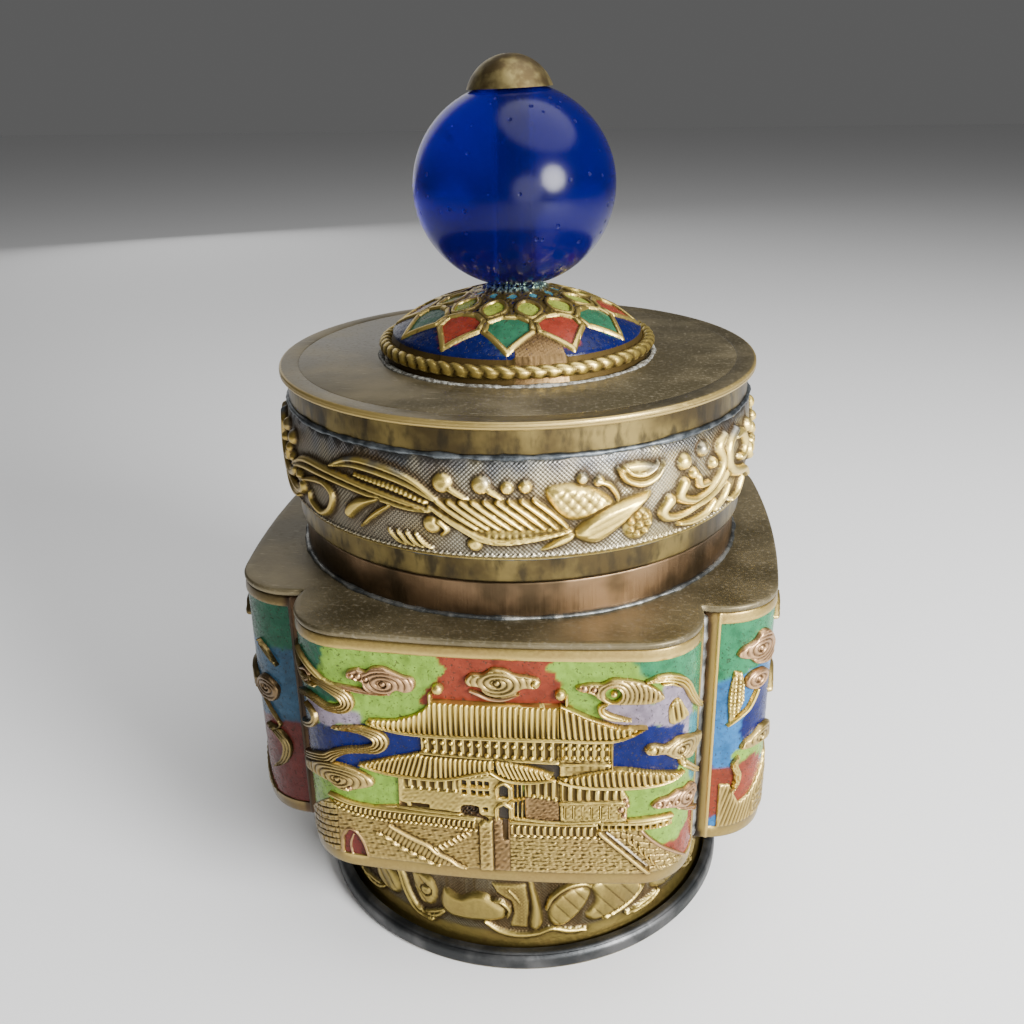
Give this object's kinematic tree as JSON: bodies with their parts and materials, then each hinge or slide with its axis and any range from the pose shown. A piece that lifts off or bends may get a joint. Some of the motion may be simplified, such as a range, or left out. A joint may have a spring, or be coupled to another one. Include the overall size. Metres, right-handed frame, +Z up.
{
  "type": "champleve enamel tea caddy",
  "caption": "Lidded metal tea caddy with four lobed enamel panels, a round foot, a stepped embossed lid that lifts off and a blue glass bead as its finial.",
  "frame": {"origin": "centre of the flat underside of the foot, on the surface that the caddy stands on", "axes": "+Z up along the caddy's axis, -Y out of the panel with the gate tower, +X to that panel's right"},
  "size_m": [0.0756, 0.0759, 0.1213],
  "materials": {
    "brass": "aged, dark in the hollows and worn bright on the raised work",
    "plate_brass": "dull and dusty, brown with fine scratches",
    "copper": "brushed upright, copper-brown",
    "pewter": "dark grey, satin",
    "solder": "matt grey",
    "enamel": "brass relief with opaque glossy enamel in many colours in its sunk fields",
    "glass": "polished cobalt blue glass with small bubbles"
  },
  "bodies": {
    "root": {"base_plate": "plate_brass", "foot_ring": "pewter", "foot_band": "brass", "bottom_plate": "plate_brass", "panel_front": "enamel", "panel_right": "enamel", "panel_back": "enamel", "panel_left": "enamel", "seam_rod_1": "solder", "seam_rod_2": "solder", "seam_rod_3": "solder", "seam_rod_4": "solder", "top_plate": "plate_brass", "neck_ring": "copper", "lid_lower_band": "brass", "lid_embossed_band": "brass", "lid_upper_band": "brass", "lid_disc": "plate_brass", "lid_dome": "enamel", "glass_bead": "glass", "finial_stem": "brass", "finial_cap": "brass"}
  },
  "joints": []
}
